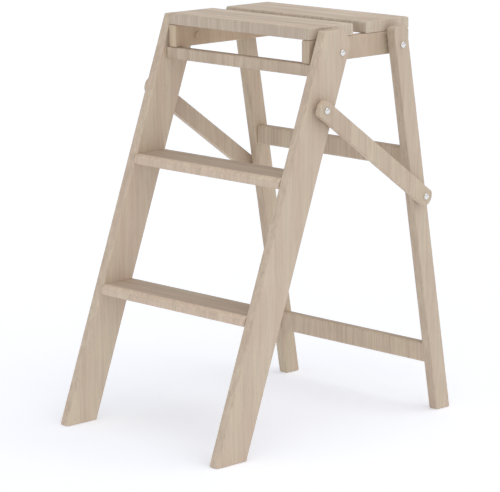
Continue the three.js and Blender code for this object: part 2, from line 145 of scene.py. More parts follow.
class LadderColours(bpy.types.PropertyGroup):
    """Colours of the finishes."""

    pale: colour_property("Pale wood", "Beech between its streaks", (0.645, 0.560, 0.438))
    warm: colour_property("Warm wood", "Beech in its rosy bands", (0.620, 0.490, 0.398))
    streak: colour_property("Streak", "Beech's darker streaks", (0.480, 0.385, 0.295))
    heart: colour_property("Heartwood", "Greyish bands on the slats and treads", (0.370, 0.290, 0.232))
    fleck: colour_property("Fleck", "Beech's short brown flecks", (0.360, 0.265, 0.185))
    steel: colour_property("Steel", "Bolts, washers and sleeve nuts", (0.80, 0.79, 0.77))
    nylon: colour_property("Nylon", "Spacers", (0.70, 0.68, 0.63))
    floor: colour_property("Floor", "Floor under the ladder", (0.935, 0.955, 0.97))


class LadderStudio(bpy.types.PropertyGroup):
    """Camera and lights."""

    camera_place: FloatVectorProperty(
        name="Camera",
        description="Where the camera stands",
        default=(3.0437, -2.9562, 1.1380),
        subtype="TRANSLATION",
    )
    camera_turn: angle_property("Turn", "Camera's heading", 45.970)
    camera_tilt: angle_property("Tilt", "Camera's pitch", -11.404)
    camera_roll: angle_property("Roll", "Camera's roll", -0.321)
    lens: number_property("Lens", "Focal length in millimetres", 193.58)
    key: number_property("Key light", "Strength of the warm light from the right", 1.38)
    fill: number_property("Fill light", "Strength of the light in front of the treads", 0.45)
    horizon: number_property("Horizon", "Brightness of the surroundings at eye level", 1.0)
    zenith: number_property("Zenith", "Brightness of the surroundings overhead", 0.30)
    floor_glow: number_property("Floor glow", "Light that the white floor gives back", 0.225)


# ---- outlines ----
# An outline is a chain of arcs that straight lines join. It comes as an array of points and an array of the
# outward normals there, and runs anticlockwise as seen from the ladder's right.

ARC_STEPS = 12
EDGE_STEPS = 6
FLAT_INSET = 1.15  # where a broad face's own ring lies, in radii of the rounded edge


def arc_chain(centres, radii, starts, sweeps, steps=ARC_STEPS):
    """Points and normals of the arcs, one after another. A normal is (cos a, sin a) for an angle a that goes
    in equal steps from an arc's start to start + sweep, and its point is centre + radius * normal."""
    angle = starts[:, None] + sweeps[:, None] * np.linspace(0, 1, steps + 1)
    normals = np.stack([np.cos(angle), np.sin(angle)], -1)
    points = centres[:, None, :] + radii[:, None, None] * normals
    return points.reshape(-1, 2), normals.reshape(-1, 2)


def rounded_outline(corners):
    """A polygon of corners (y, z, radius) with each corner rounded. Where edges with outward normals m and n
    meet, the arc's centre is corner - radius (m + n) / (1 + m.n), and its sweep is the angle from m to n."""
    corners = np.array(corners, float)
    place, radii = corners[:, :2], corners[:, 2]
    edge = np.roll(place, -1, 0) - place
    edge /= np.linalg.norm(edge, axis=1, keepdims=True)
    after = np.stack([edge[:, 1], -edge[:, 0]], -1)
    before = np.roll(after, 1, 0)
    agree = (before * after).sum(1)
    cross = before[:, 0] * after[:, 1] - before[:, 1] * after[:, 0]
    centres = place - (radii / (1 + agree))[:, None] * (before + after)
    return arc_chain(centres, radii, np.arctan2(before[:, 1], before[:, 0]), np.arctan2(cross, agree))


def box_outline(low, high, rounds):
    """A rectangle from low to high, whose rounds go anticlockwise from the lower front corner."""
    corners = [low, (high[0], low[1]), high, (low[0], high[1])]
    return rounded_outline([(*corner, radius) for corner, radius in zip(corners, rounds)])


def leaning_outline(through, slope, half, foot, top, rounds):
    """A leaning board with level ends at the heights foot and top. Its centreline goes through a point
    (y, h), and at height z it is at y + (z - h) * slope. The board reaches half to each side of it. The
    rounds go anticlockwise from the lower front corner."""
    at_foot, at_top = (through[0] + (z - through[1]) * slope for z in (foot, top))
    corners = [(at_foot - half, foot), (at_foot + half, foot), (at_top + half, top), (at_top - half, top)]
    return rounded_outline([(*corner, radius) for corner, radius in zip(corners, rounds)])


def bowed_outline(start, finish, width, end, end_radius, corner):
    """A straight board from one pivot to another whose ends bow out. A bow is an arc of end_radius that
    reaches end past the pivot, and an arc of radius corner touches the bow from inside and the straight edge:
    its centre is corner in from the edge, and end_radius - corner from the bow's centre."""
    along = finish - start
    span = np.linalg.norm(along)
    along = along / span
    across = np.array([-along[1], along[0]])
    bow = span + end - end_radius
    rise = width / 2 - corner
    run = math.sqrt((end_radius - corner) ** 2 - rise**2)
    reach = math.atan2(rise, run)
    local = np.array([[bow + run, -rise], [bow, 0], [bow + run, rise]])
    local = np.concatenate([local, [span, 0] - local])
    radii = np.array([corner, end_radius, corner] * 2)
    quarter = math.pi / 2
    starts = np.array([-quarter, -reach, reach])
    sweeps = np.array([quarter - reach, 2 * reach, quarter - reach] * 2)
    starts = np.concatenate([starts, starts + math.pi]) + math.atan2(along[1], along[0])
    centres = start + local[:, :1] * along + local[:, 1:] * across
    return arc_chain(centres, radii, starts, sweeps)


def scaled_outline(outline, low, high):
    """The outline stretched so that it fills the box from low to high."""
    points, normals = outline
    least, most = points.min(0), points.max(0)
    return low + (points - least) * (high - low) / (most - least), normals


# ---- surfaces ----


def ring_faces(rings, count, closed=False):
    """Quads between neighbouring rings of count points: (i, j), (i, j + 1), (i + 1, j + 1), (i + 1, j)."""
    i = np.arange(rings if closed else rings - 1)[:, None]
    j = np.arange(count)[None, :]
    k, m = (j + 1) % count, (i + 1) % rings
    quads = np.stack([i * count + j, i * count + k, m * count + k, m * count + j], -1)
    return quads.reshape(-1, 4).tolist()


def ringed_mesh(name, points, closed=False):
    """A mesh of rings, an array of rings x count x 3. A flat face covers the first and the last ring unless
    the rings themselves close on each other."""
    rings, count, _ = points.shape
    faces = ring_faces(rings, count, closed)
    if not closed:
        faces.append(list(range(count))[::-1])
        faces.append(list(range((rings - 1) * count, rings * count)))
    mesh = bpy.data.meshes.new(name)
    mesh.from_pydata(points.reshape(-1, 3).tolist(), [], faces)
    mesh.update()
    return mesh


def shaded(mesh, sharp=35):
    """Smooth over rounded edges, with a crease where two faces meet at more than sharp degrees."""
    mesh.polygons.foreach_set("use_smooth", np.ones(len(mesh.polygons), bool))
    mesh.set_sharp_from_angle(angle=math.radians(sharp))
    return mesh


def rings_across(outlines, stations):
    """Rings in Y-Z planes: ring i is outline i at x = station i."""
    points = np.stack(outlines)
    x = np.broadcast_to(np.array(stations)[:, None, None], points.shape[:2] + (1,))
    return np.concatenate([x, points], -1)


def board_rings(outline, x0, x1, edge):
    """A board as rings across X. Over the rounded edge, at angle t from the broad face, the outline is moved
    in by edge (1 - sin t) and stands edge (1 - cos t) in from the face. One more ring on each face keeps
    it flat."""
    points, normals = outline
    t = np.linspace(0, math.pi / 2, EDGE_STEPS + 1)
    inset = np.concatenate([[edge * FLAT_INSET], edge * (1 - np.sin(t))])
    step = np.concatenate([[0], edge * (1 - np.cos(t))])
    outlines = [points - d * normals for d in (*inset, *inset[::-1])]
    return outlines, [*(x0 + step), *(x1 - step[::-1])]


def board_mesh(name, outline, x0, x1, edge):
    """A board between x0 and x1, with its edges rounded by edge."""
    return ringed_mesh(name, rings_across(*board_rings(outline, x0, x1, edge)))


def tenoned_mesh(name, outline, x0, x1, edge, tenon, shoulder):
    """A rail between x0 and x1 with a tenon on each end. A tenon's section is the rail's, less shoulder all
    round."""
    outlines, stations = board_rings(outline, x0, x1, edge)
    low, high = outline[0].min(0) + shoulder, outline[0].max(0) - shoulder
    section, normals = scaled_outline(outline, low, high)
    ease = 0.0006
    tip = section - ease * normals
    outlines = [tip, section, section, *outlines, section, section, tip]
    stations = [x0 - tenon, x0 - tenon + ease, x0, *stations, x1, x1 + tenon - ease, x1 + tenon]
    return ringed_mesh(name, rings_across(outlines, stations))


def turned_rings(profile, centre, axis="X", segments=48, key=()):
    """A profile of (radius, distance along the axis) turned about an axis through centre. Ring i holds
    centre + radius (cos a, sin a) for equal angles a. A ring named in key is hexagonal: its radius is times
    cos 30 degrees / cos(a mod 60 degrees - 30 degrees)."""
    profile = np.array(profile, float)
    angle = np.arange(segments) * 2 * math.pi / segments
    sixth = math.pi / 3
    hexagon = math.cos(sixth / 2) / np.cos(np.mod(angle, sixth) - sixth / 2)
    radius = np.repeat(profile[:, :1], segments, 1)
    keyed = np.isin(np.arange(len(profile)), key)
    radius = np.where(keyed[:, None], radius * hexagon, radius)
    along = np.repeat(profile[:, 1:], segments, 1)
    u, v = radius * np.cos(angle), radius * np.sin(angle)
    if axis == "X":
        return np.stack([along, centre[0] + u, centre[1] + v], -1)
    return np.stack([centre[0] + u, centre[1] + v, along], -1)


def side_profile(profile, side, face):
    """A fixing's profile, given as (radius, depth in from the face), at x on one side of the ladder. On the
    right its order is turned round, so that the surface still faces out."""
    placed = [(radius, side * (face - depth)) for radius, depth in profile]
    return placed[::-1] if side > 0 else placed


# ---- making pieces ----


def add_piece(name, mesh, body, replaces, finish):
    """Adds a finished piece that rides on its body and stands for the nodes it replaces, if any."""
    mesh.materials.append(finish)
    piece = bpy.data.objects.new(name, shaded(mesh))
    bpy.context.scene.collection.objects.link(piece)
    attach(piece, body)
    if replaces:
        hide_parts(*replaces)


def drilled(mesh, cutters):
    """The mesh less its cutters, which are closed meshes."""
    board = bpy.data.objects.new("drilling", mesh)
    bpy.context.scene.collection.objects.link(board)
    tools = []
    for cutter in cutters:
        tool = bpy.data.objects.new("cutter", cutter)
        bpy.context.scene.collection.objects.link(tool)
        cut = board.modifiers.new("cut", "BOOLEAN")
        cut.operation = "DIFFERENCE"
        cut.solver = "EXACT"
        cut.object = tool
        tools.append(tool)
    result = bpy.data.meshes.new_from_object(board.evaluated_get(bpy.context.evaluated_depsgraph_get()))
    result.name = mesh.name
    for thing in [board, *tools]:
        used = thing.data
        bpy.data.objects.remove(thing)
        bpy.data.meshes.remove(used)
    return result


def bore_cutter(centre, radius, x0, x1, seat=None, seat_radius=None):
    """A cutter along X from x0 to x1, wider from x0 as far as seat if that is given."""
    profile = [(radius, x0), (radius, x1)]
    if seat is not None:
        profile = [(seat_radius, x0), (seat_radius, seat), (radius, seat), (radius, x1)]
    if x1 < x0:
        profile = profile[::-1]
    return ringed_mesh("bore", turned_rings(profile, centre))


def finish_for(name, **settings):
    """A finish that is made the first time it is asked for."""
    made = bpy.data.materials.get(name)
    return made or FINISHES[name.split("_")[0]](name, **settings)


# ---- shader maths ----


class Value:
    """A number that varies over a surface. Sums and products of it add Math nodes."""

    def __init__(self, graph, socket):
        self.graph = graph
        self.socket = socket

    def _maths(self, operation, *values, clamp=False):
        settings = {"operation": operation, "use_clamp": clamp}
        return Value(self.graph, self.graph.node("ShaderNodeMath", settings, *values).outputs[0])

    def __add__(self, other):
        return self._maths("ADD", self, other)

    def __sub__(self, other):
        return self._maths("SUBTRACT", self, other)

    def __rsub__(self, other):
        return self._maths("SUBTRACT", other, self)

    def __mul__(self, other):
        return self._maths("MULTIPLY", self, other)

    def __pow__(self, other):
        return self._maths("POWER", self, other)

    def __gt__(self, other):
        return self._maths("GREATER_THAN", self, other)

    __radd__ = __add__
    __rmul__ = __mul__

    def size(self):
        return self._maths("ABSOLUTE", self)

    def clipped(self):
        return self._maths("ADD", self, 0.0, clamp=True)

    def between(self, low, high):
        """0 below low, 1 above high and a straight line between them."""
        return ((self - low) * (1.0 / (high - low))).clipped()


class Graph:
    """The nodes of an owner, which is a material or the world."""

    def __init__(self, owner):
        owner.use_nodes = True
        self.owner = owner
        self.tree = owner.node_tree
        self.tree.nodes.clear()

    def node(self, kind, settings=None, *values, **named):
        """A node of this kind. Its settings are set first, then its sockets, by order or by name, from values
        or links. A socket whose value is None is left as it is."""
        made = self.tree.nodes.new(kind)
        for key, setting in (settings or {}).items():
            setattr(made, key, setting)
        for key, value in [*enumerate(values), *named.items()]:
            if value is None:
                continue
            socket = made.inputs[key.replace("_", " ") if isinstance(key, str) else key]
            source = value.socket if isinstance(value, Value) else value
            if isinstance(source, bpy.types.NodeSocket):
                self.tree.links.new(source, socket)
            else:
                socket.default_value = source
        return made

    def blend(self, factor, first, second, mode="MIX"):
        """Colours: first where factor is 0 and second where it is 1, or their product in mode MULTIPLY."""
        settings = {"data_type": "RGBA", "blend_type": mode, "clamp_factor": True}
        colours = [self.opaque(colour) for colour in (first, second)]
        return self.node("ShaderNodeMix", settings, factor, *[None] * 5, *colours).outputs[2]

    def opaque(self, colour):
        """The colour with its alpha, or its link as it is."""
        return colour if isinstance(colour, bpy.types.NodeSocket) else (*colour[:3], 1)

    def choose(self, factor, first, second):
        """Vectors: first where factor is 0 and second where it is 1."""
        settings = {"data_type": "VECTOR", "clamp_factor": True}
        return self.node("ShaderNodeMix", settings, factor, *[None] * 3, first, second).outputs[1]

    def noise(self, place, scale, detail, roughness=0.5):
        """Soft noise between 0 and 1."""
        settings = {"noise_dimensions": "3D", "normalize": True}
        sockets = {"Vector": place, "Scale": scale, "Detail": detail, "Roughness": roughness}
        return Value(self, self.node("ShaderNodeTexNoise", settings, **sockets).outputs[0])

    def vector(self, operation, *values, **named):
        return self.node("ShaderNodeVectorMath", {"operation": operation}, *values, **named).outputs[0]

    def finish(self, colour, roughness, bump=None, strength=0.2, distance=0.0002, **uniform):
        """The surface itself. Uniform values are set on its own sockets."""
        normal = None
        if bump is not None:
            relief = self.node("ShaderNodeBump", None, Strength=strength, Distance=distance, Height=bump)
            normal = relief.outputs[0]
        sockets = {"Base_Color": colour, "Roughness": roughness, "Normal": normal, **uniform}
        surface = self.node("ShaderNodeBsdfPrincipled", None, **sockets)
        self.node("ShaderNodeOutputMaterial", None, surface.outputs[0])
        return self.owner


# ---- finishes ----


GRAIN_LENGTH = 34.0  # how many times as long as wide the grain's figure is
FLECK_LENGTH = 9.0  # the same of a fleck
BEND = 0.010  # how far slow noise moves the grain
BEND_SCALE = 9.0  # how fine that noise is
LEVEL_NORMAL = 0.93  # a face is level above this size of its normal's z
SIDE_NORMAL = 0.72  # a face is a broad side above this size of its normal's x
EDGE_NORMAL = 0.5  # a rounded upper edge lies between this z and a level face's


def beech_finish(
    name,
    shift=(0, 0, 0),
    side=1.0,
    front=1.0,
    top=1.0,
    rosy=0.5,
    contrast=1.05,
    lines=0.1,
    tint=(1.0, 0.99, 0.965),
):
    """Bare sanded beech. On level faces the grain runs along the ladder's width, and elsewhere it runs
    upright. Broad bands, streaks and fibres are noise that is drawn out along the grain, bent a little by
    slow noise, and short brown flecks are the peaks of noise that is drawn out less. Side, front and top are
    painted light and shade: how bright broad side faces, other upright faces and level faces are painted,
    as light would fall on them. Rounded upper edges get a painted highlight. The tint is partly the wood's
    own colour and partly painted warm bounce light. Rosy is how warm the wood is, contrast how dark its
    figure is, and lines how strong the heartwood is on level faces."""
    colours = bpy.context.scene.ladder_colours
    graph = Graph(bpy.data.materials.new(name))
    source = graph.node("ShaderNodeTexCoord")
    place = graph.vector("ADD", source.outputs["Object"], shift)
    facing = graph.node("ShaderNodeSeparateXYZ", None, source.outputs["Normal"])
    level = Value(graph, facing.outputs[2]).size() > LEVEL_NORMAL
    sideways = Value(graph, facing.outputs[0]).size() > SIDE_NORMAL
    # Rounded upper edges, which get a painted highlight below.
    eased = (Value(graph, facing.outputs[2]) > EDGE_NORMAL) - level
    slow = {"Vector": place, "Scale": BEND_SCALE, "Detail": 1.0}
    wander = graph.node("ShaderNodeTexNoise", {"noise_dimensions": "3D"}, **slow).outputs[1]
    offset = graph.vector("SCALE", graph.vector("SUBTRACT", wander, (0.5, 0.5, 0.5)), Scale=BEND)
    bent = graph.vector("ADD", place, offset)

    def drawn(length):
        """Coordinates in which a pattern comes out length times as long along the grain as across it."""
        upright = graph.vector("MULTIPLY", bent, (1, 1, 1 / length))
        laid = graph.vector("MULTIPLY", bent, (1 / length, 1, 1))
        return graph.choose(level, upright, laid)

    long, short = drawn(GRAIN_LENGTH), drawn(FLECK_LENGTH)
    bands = graph.noise(long, 55.0, 2.0)
    stripes = graph.noise(long, 125.0, 3.0, 0.55)
    streaks = graph.noise(long, 260.0, 3.0, 0.6)
    fibres = graph.noise(long, 1100.0, 2.0, 0.6)
    clouds = graph.noise(place, 9.0, 2.0)
    flecks = graph.noise(short, 820.0, 1.0, 0.4).between(0.66, 0.78)

    rosiness = (bands.between(0.38, 0.62) * 0.6 + clouds.between(0.35, 0.65) * 0.5) * (2 * rosy)
    colour = graph.blend(rosiness, colours.pale, colours.warm)
    dark = streaks.between(0.42, 0.72) * 0.42 + fibres.between(0.45, 0.75) * 0.20
    dark = (dark + bands.between(0.5, 0.8) * 0.16) * (1.4 - 0.4 * sideways + 0.2 * level) * contrast
    dark = dark + stripes.between(0.46, 0.62) * (0.32 - 0.20 * sideways) + clouds.between(0.5, 0.75) * 0.10
    colour = graph.blend(dark, colour, colours.streak)
    heart = graph.noise(long, 75.0, 3.0, 0.55).between(0.40, 0.64)
    colour = graph.blend(heart * level * lines, colour, colours.heart)
    colour = graph.blend(flecks * 0.35, colour, colours.fleck)
    # Painted light and shade: each face is made lighter or darker by the way it faces, and rounded upper
    # edges get a painted highlight.
    painted_brightness = front + (side - front) * sideways + (top - front) * level + 0.07 * eased
    # The painted brightness times the tint, which is partly the wood's colour and partly painted warm bounce
    # light.
    shade = graph.node("ShaderNodeCombineColor", None, *(painted_brightness * part for part in tint)).outputs[0]
    tinted = graph.blend(1.0, colour, shade, "MULTIPLY")
    roughness = 0.55 + streaks * 0.12
    relief = streaks * 0.5 + fibres * 0.5
    return graph.finish(tinted, roughness, relief, 0.18, 0.0003)


def steel_finish(name):
    """Bright plated steel with a faint turned grain."""
    colours = bpy.context.scene.ladder_colours
    graph = Graph(bpy.data.materials.new(name))
    place = graph.node("ShaderNodeTexCoord").outputs["Object"]
    grain = graph.noise(graph.vector("MULTIPLY", place, (6, 1, 1)), 900.0, 2.0, 0.6)
    colour = graph.blend(grain * 0.25, colours.steel, [c * 0.8 for c in colours.steel])
    return graph.finish(colour, 0.18 + grain * 0.16, grain, 0.05, 0.0001, Metallic=1.0)


def nylon_finish(name):
    """Moulded nylon, a little mottled."""
    colours = bpy.context.scene.ladder_colours
    graph = Graph(bpy.data.materials.new(name))
    place = graph.node("ShaderNodeTexCoord").outputs["Object"]
    mottle = graph.noise(place, 500.0, 3.0, 0.6)
    colour = graph.blend(mottle * 0.3, colours.nylon, [c * 0.8 for c in colours.nylon])
    return graph.finish(colour, 0.42 + mottle * 0.12, mottle, 0.08, 0.0001)


def floor_finish(name):
    """A white studio floor, which gives some light of its own and has a hardly visible unevenness."""
    colours, studio = bpy.context.scene.ladder_colours, bpy.context.scene.ladder_studio
    graph = Graph(bpy.data.materials.new(name))
    place = graph.node("ShaderNodeTexCoord").outputs["Object"]
    cloud = graph.noise(place, 0.8, 2.0)
    colour = graph.blend(cloud * 0.1, colours.floor, [c * 0.97 for c in colours.floor])
    glow = {"Emission_Color": (0.80, 0.83, 1, 1), "Emission_Strength": studio.floor_glow}
    return graph.finish(colour, 0.9, Specular_IOR_Level=0.0, **glow)


FINISHES = {"beech": beech_finish, "steel": steel_finish, "nylon": nylon_finish, "floor": floor_finish}


# ---- fixings' profiles ----


def bolt_profile(head_radius, head_height, shank_radius, length):
    """A domed head and a shank, as (radius, depth in from the head's seat). The dome is a quarter of an
    ellipse."""
    t = np.linspace(0.06, 1, 12) * math.pi / 2
    rim = head_height * 0.2
    dome = np.stack([head_radius * np.sin(t), -rim - (head_height - rim) * np.cos(t)], -1)
    ease = 0.0006
    shank = [
        (head_radius, -0.0001), (head_radius - 0.0001, 0), (shank_radius, 0),
        (shank_radius, length - ease), (shank_radius - ease, length),
    ]
    return [*map(tuple, dome), *shank]


def nut_profile(radius, bore, length):
    """A sleeve with a blind bore, from the bore's floor round its mouth to the closed end."""
    ease = 0.0003
    return [
        (bore, length - 0.002), (bore, ease), (bore + ease, 0), (radius - ease, 0), (radius, ease),
        (radius, length - ease), (radius - ease, length),
    ]


def plug_profile(radius, thickness):
    """A flat wooden plug with a rounded rim."""
    t = np.linspace(0, 1, 6) * math.pi / 2
    ease = thickness / 3
    rim = np.stack([radius - ease * (1 - np.cos(t)), thickness - ease * (1 - np.sin(t))], -1)
    return [(radius - ease, 0), (radius, ease / 2), *map(tuple, rim)]


def ring_profile(inner, outer, thickness):
    """A washer or spacer with eased edges, as a closed loop."""
    ease = min(0.0004, thickness / 5)
    far = thickness - ease
    return [
        (inner, ease), (inner + ease, 0), (outer - ease, 0), (outer, ease),
        (outer, far), (outer - ease, thickness), (inner + ease, thickness), (inner, far),
    ]


def add_turned(node, body, profile, side, face, centre, finish, closed=False):
    """A turned piece that stands for a fixing's node."""
    rings = turned_rings(side_profile(profile, side, face), centre)
    add_piece(node + "_turned", ringed_mesh(node + "_turned", rings, closed), body, [node], finish)


# ---- operators ----


def half_height(node):
    """Half of a node's height, which is a turned piece's radius."""
    low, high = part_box(node)
    return (high.z - low.z) / 2


def inner_outer(node, side):
    """How far a side board's inner and outer faces are from the middle of the ladder."""
    low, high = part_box(node)
    return (low.x, high.x) if side > 0 else (-high.x, -low.x)


def seat_cutter(pivot, sizes, side, inner, outer):
    """A cutter for a bore through a side board, with the recess for a plug on its inner face."""
    inside, outside, seat = side * (inner - MM), side * (outer + MM), side * (inner + SEAT_DEPTH)
    return bore_cutter(pivot, sizes.bore, inside, outside, seat, sizes.seat)


def mortise_cutter(rail, side, face, sizes):
    """A cutter for the mortise that takes a rail's tenon."""
    low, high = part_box(rail)
    inset = sizes.tenon_shoulder - SINK
    least, most = (low.y + inset, low.z + inset), (high.y - inset, high.z - inset)
    section = box_outline(least, most, [sizes.corner] * 4)[0]
    ends = sorted([side * (face - MM), side * (face + sizes.tenon + SINK)])
    return ringed_mesh("mortise", rings_across([section, section], ends))


def screw_cutter(node, z0, z1):
    """A cutter for a slat screw's hole, which is wide up to a little above the screw's head."""
    low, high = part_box(node)
    centre = ((low.x + high.x) / 2, (low.y + high.y) / 2)
    wide = (high.y - low.y) / 2 + 0.35 * MM
    head = low.z + SCREW_SEAT
    profile = [(wide, z0 - MM), (wide, head), (SCREW_HOLE, head), (SCREW_HOLE, z1 + MM)]
    return ringed_mesh("screw_hole", turned_rings(profile, centre, "Z", SCREW_SEGMENTS))


class LADDER_OT_stiles(bpy.types.Operator):
    """Builds the two leaning stiles"""

    bl_idname = "ladder.stiles"
    bl_label = "Stiles"
    bl_options = {"REGISTER", "UNDO"}

    def execute(self, context):
        sizes = context.scene.ladder_sizes
        through = BRACE_STILE + [sizes.brace_ahead, 0]
        slope = math.tan(sizes.stile_lean)
        half = sizes.stile_width / 2 / math.cos(sizes.stile_lean)
        rounds = [sizes.corner, sizes.corner, sizes.stile_top_round, sizes.corner]
        for hand, side in HANDS.items():
            node = f"stile_{hand}"
            low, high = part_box(node)
            outline = leaning_outline(through, slope, half, low.z, high.z, rounds)
            mesh = board_mesh(node, outline, low.x, high.x, sizes.board_edge)
            inner, outer = inner_outer(node, side)
            cutters = [
                bore_cutter(PLATFORM_STILE, sizes.bore, side * (inner - MM), side * (outer + MM)),
                seat_cutter(BRACE_STILE, sizes, side, inner, outer),
                mortise_cutter("front_rail", side, inner, sizes),
            ]
            # Painted light: the right stile's broad faces are painted darker than the left's.
            look = {"shift": (0.31 * side, 0.7, 0.2), "side": 0.99 - 0.025 * side, "tint": (1, 0.985, 0.955)}
            finish = finish_for(f"beech_{node}", **look)
            add_piece(f"{node}_board", drilled(mesh, cutters), "front_frame", [node], finish)
        return {"FINISHED"}


class LADDER_OT_treads(bpy.types.Operator):
    """Builds the two treads with their rounded noses"""

    bl_idname = "ladder.treads"
    bl_label = "Treads"
    bl_options = {"REGISTER", "UNDO"}

    def execute(self, context):
        sizes = context.scene.ladder_sizes
        rounds = [sizes.nose_under_round, sizes.board_edge, sizes.board_edge, sizes.nose_round]
        for k, node in enumerate(["tread_lower", "tread_upper"]):
            low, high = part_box(node)
            outline = box_outline((low.y, low.z), (high.y, high.z), rounds)
            mesh = board_mesh(node, outline, low.x, high.x, sizes.eased_edge)
            # Painted light: the treads' noses and fronts are painted lighter and their tops darker.
            look = {"shift": (0.13, 0.4 * k, 0.9), "front": 1.09, "top": 0.90, "rosy": 0.8, "lines": 0.28}
            finish = finish_for(f"beech_{node}", **look)
            add_piece(f"{node}_board", mesh, "front_frame", [node], finish)
        return {"FINISHED"}


class LADDER_OT_rails(bpy.types.Operator):
    """Builds the front rail and the two rear rails with their tenons"""

    bl_idname = "ladder.rails"
    bl_label = "Rails"
    bl_options = {"REGISTER", "UNDO"}

    def execute(self, context):
        sizes = context.scene.ladder_sizes
        tenon = sizes.tenon + SINK
        # Each rail: its node, its body, and how bright its front is painted, which is painted shade.
        rails = [
            ("front_rail", "front_frame", 0.92),
            ("rear_rail_lower", "rear_frame", 1.0),
            ("rear_rail_upper", "rear_frame", 0.94),
        ]
        for k, (node, body, front) in enumerate(rails):
            low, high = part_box(node)
            outline = box_outline((low.y, low.z), (high.y, high.z), [sizes.corner] * 4)
            ends = (low.x + tenon, high.x - tenon)
            mesh = tenoned_mesh(node, outline, *ends, sizes.eased_edge, tenon, sizes.tenon_shoulder)
            # Painted shade: the rails' tops are painted darker; the tint is partly painted warm bounce light.
            look = {"shift": (0.5, 0.3 * k, 0.4), "top": 0.86, "contrast": 1.4, "tint": (1, 0.98, 0.94)}
            finish = finish_for(f"beech_{node}", front=front, **look)
            add_piece(f"{node}_board", mesh, body, [node], finish)
        return {"FINISHED"}


class LADDER_OT_legs(bpy.types.Operator):
    """Builds the two rear legs"""

    bl_idname = "ladder.legs"
    bl_label = "Rear legs"
    bl_options = {"REGISTER", "UNDO"}

    def execute(self, context):
        sizes = context.scene.ladder_sizes
        through = BRACE_LEG + [sizes.brace_ahead, 0]
        along = PLATFORM_LEG - through
        slope = along[0] / along[1]
        half = sizes.leg_width / 2 * math.hypot(1, slope)
        rounds = [sizes.corner, sizes.corner, sizes.corner, sizes.leg_top_round]
        for hand, side in HANDS.items():
            node = f"rear_leg_{hand}"
            low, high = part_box(node)
            outline = leaning_outline(through, slope, half, low.z, high.z, rounds)
            mesh = board_mesh(node, outline, low.x, high.x, sizes.board_edge)
            inner, outer = inner_outer(node, side)
            cutters = [
                bore_cutter(PLATFORM_LEG, sizes.bore, side * (inner - MM), side * (outer + MM)),
                seat_cutter(BRACE_LEG, sizes, side, inner, outer),
                mortise_cutter("rear_rail_lower", side, inner, sizes),
                mortise_cutter("rear_rail_upper", side, inner, sizes),
            ]
            # Painted shade: the legs' faces are painted darker, and the tint, warmer on the left leg, is
            # partly painted warm bounce light.
            tint = (1, 0.98, 0.93 + 0.02 * side)
            look = {"shift": (0.9 * side, 0.1, 0.6), "side": 0.93, "front": 0.88, "tint": tint}
            finish = finish_for(f"beech_leg_{hand}", **look)
            add_piece(f"{node}_board", drilled(mesh, cutters), "rear_frame", [node], finish)
        return {"FINISHED"}


class LADDER_OT_platform(bpy.types.Operator):
    """Builds the platform's two slats and the bearers under them"""

    bl_idname = "ladder.platform"
    bl_label = "Platform"
    bl_options = {"REGISTER", "UNDO"}

    def execute(self, context):
        sizes = context.scene.ladder_sizes
        for k, node in enumerate(["slat_front", "slat_rear"]):
            self.slat(node, 0.15 + 0.5 * k, sizes)
        for hand, side in HANDS.items():
            self.bearer(hand, side, sizes)
        return {"FINISHED"}

    def slat(self, node, offset, sizes):
        low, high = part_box(node)
        rounds = [sizes.board_edge, sizes.board_edge, sizes.slat_round, sizes.slat_round]
        outline = box_outline((low.y, low.z), (high.y, high.z), rounds)
        mesh = board_mesh(node, outline, low.x, high.x, sizes.brace_edge)
        # Painted light: the slats' tops are painted lighter and their fronts darker.
        look = {"shift": (0.2, offset, 0.3), "front": 0.94, "top": 1.22, "rosy": 0.4, "contrast": 1.2}
        finish = finish_for(f"beech_{node}", lines=0.55, tint=(0.98, 0.99, 0.99), **look)
        add_piece(f"{node}_board", mesh, "platform", [node], finish)

    def bearer(self, hand, side, sizes):
        node = f"bearer_{hand}"
        low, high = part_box(node)
        top = sizes.brace_edge + 0.5 * MM
        outline = box_outline((low.y, low.z), (high.y, high.z), [sizes.corner, sizes.corner, top, top])
        mesh = board_mesh(node, outline, low.x, high.x, sizes.brace_edge)
        cutters = [
            bore_cutter(pivot, sizes.bore, low.x - MM, high.x + MM)
            for pivot in (PLATFORM_STILE, PLATFORM_LEG)
        ]
        for slat in ("front", "rear"):
            for number in (1, 2):
                cutters.append(screw_cutter(f"{slat}_slat_screw_{hand}_{number}", low.z, high.z))
        # Painted shade: the bearers' faces are painted darker, and the tint, warmer on the left bearer, is
        # partly painted warm bounce light.
        tint = (1, 0.958 + 0.022 * side, 0.87 + 0.045 * side)
        look = {"shift": (0.6 * side, 0.2, 0.1), "side": 0.92, "front": 0.93, "rosy": 0.7, "tint": tint}
        finish = finish_for(f"beech_{node}", **look)
        add_piece(f"{node}_board", drilled(mesh, cutters), "platform", [node], finish)


class LADDER_OT_braces(bpy.types.Operator):
    """Builds the two braces with their bowed ends"""

    bl_idname = "ladder.braces"
    bl_label = "Braces"
    bl_options = {"REGISTER", "UNDO"}

    def execute(self, context):
        sizes = context.scene.ladder_sizes
        end = (sizes.brace_end, sizes.brace_end_radius, sizes.corner)
        outline = bowed_outline(BRACE_STILE, BRACE_LEG, sizes.brace_width, *end)
        for hand, side in HANDS.items():
            node = f"brace_{hand}"
            low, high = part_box(node)
            mesh = board_mesh(node, outline, low.x, high.x, sizes.brace_edge)
            cutters = [
                bore_cutter(pivot, sizes.bore, low.x - MM, high.x + MM) for pivot in (BRACE_STILE, BRACE_LEG)
            ]
            # Painted shade: the braces' broad faces are painted darker; the tint is partly painted warm
            # bounce light.
            look = {"shift": (0.4 * side, 0.8, 0.55), "side": 0.94, "contrast": 1.5, "tint": (1, 0.98, 0.94)}
            finish = finish_for(f"beech_{node}", **look)
            add_piece(f"{node}_board", drilled(mesh, cutters), node, [node], finish)
        return {"FINISHED"}


